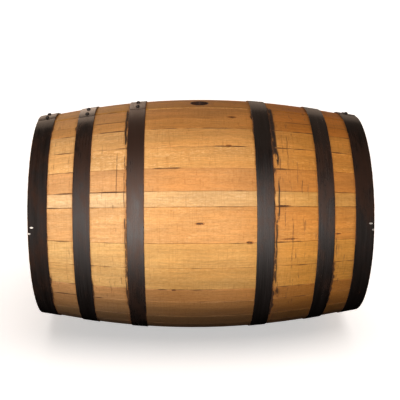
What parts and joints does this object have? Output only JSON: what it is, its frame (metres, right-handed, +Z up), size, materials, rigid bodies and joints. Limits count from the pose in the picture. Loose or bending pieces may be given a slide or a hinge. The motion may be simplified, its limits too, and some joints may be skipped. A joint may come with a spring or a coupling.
{
  "type": "oak barrel",
  "caption": "Bulged oak barrel lying on its side: bent staves bound by riveted steel hoops, a grooved-in board head at each end, and a lift-out bung on top.",
  "frame": {"origin": "centre of the barrel, on its long axis at mid length", "axes": "+X along the barrel's long axis towards the right head, +Z up through the bung, -Y the front"},
  "size_m": [0.902, 0.6598, 0.6597],
  "materials": {
    "stave_oak": "planed bare oak, dry",
    "head_oak": "planed bare oak, dry",
    "dowel_oak": "turned oak",
    "bung_wood": "turned hardwood, wine stained",
    "hoop_steel": "rolled steel strip, blackened, satin",
    "rivet_steel": "hammered steel, dark"
  },
  "bodies": {
    "barrel": {"bung_stave": "stave_oak", "left_bilge_hoop": "hoop_steel", "left_bilge_hoop_rivets": "rivet_steel", "left_head_board_1": "head_oak", "left_head_board_2": "head_oak", "left_head_board_3": "head_oak", "left_head_board_4": "head_oak", "left_head_board_5": "head_oak", "left_head_board_6": "head_oak", "left_head_dowels": "dowel_oak", "left_head_hoop": "hoop_steel", "left_head_hoop_rivets": "rivet_steel", "left_quarter_hoop": "hoop_steel", "left_quarter_hoop_rivets": "rivet_steel", "right_bilge_hoop": "hoop_steel", "right_bilge_hoop_rivets": "rivet_steel", "right_head_board_1": "head_oak", "right_head_board_2": "head_oak", "right_head_board_3": "head_oak", "right_head_board_4": "head_oak", "right_head_board_5": "head_oak", "right_head_board_6": "head_oak", "right_head_dowels": "dowel_oak", "right_head_hoop": "hoop_steel", "right_head_hoop_rivets": "rivet_steel", "right_quarter_hoop": "hoop_steel", "right_quarter_hoop_rivets": "rivet_steel", "stave_02": "stave_oak", "stave_03": "stave_oak", "stave_04": "stave_oak", "stave_05": "stave_oak", "stave_06": "stave_oak", "stave_07": "stave_oak", "stave_08": "stave_oak", "stave_09": "stave_oak", "stave_10": "stave_oak", "stave_11": "stave_oak", "stave_12": "stave_oak", "stave_13": "stave_oak", "stave_14": "stave_oak", "stave_15": "stave_oak", "stave_16": "stave_oak", "stave_17": "stave_oak", "stave_18": "stave_oak", "stave_19": "stave_oak", "stave_20": "stave_oak", "stave_21": "stave_oak", "stave_22": "stave_oak", "stave_23": "stave_oak", "stave_24": "stave_oak", "stave_25": "stave_oak", "stave_26": "stave_oak", "stave_27": "stave_oak", "stave_28": "stave_oak", "stave_29": "stave_oak", "stave_30": "stave_oak", "stave_31": "stave_oak", "stave_32": "stave_oak"},
    "bung": {"bung": "bung_wood"}
  },
  "joints": [
    {"name": "bung_lift", "type": "slide", "parent": "barrel", "child": "bung", "axis": [0, 0, 1], "range_m": [0, 0.1]}
  ]
}
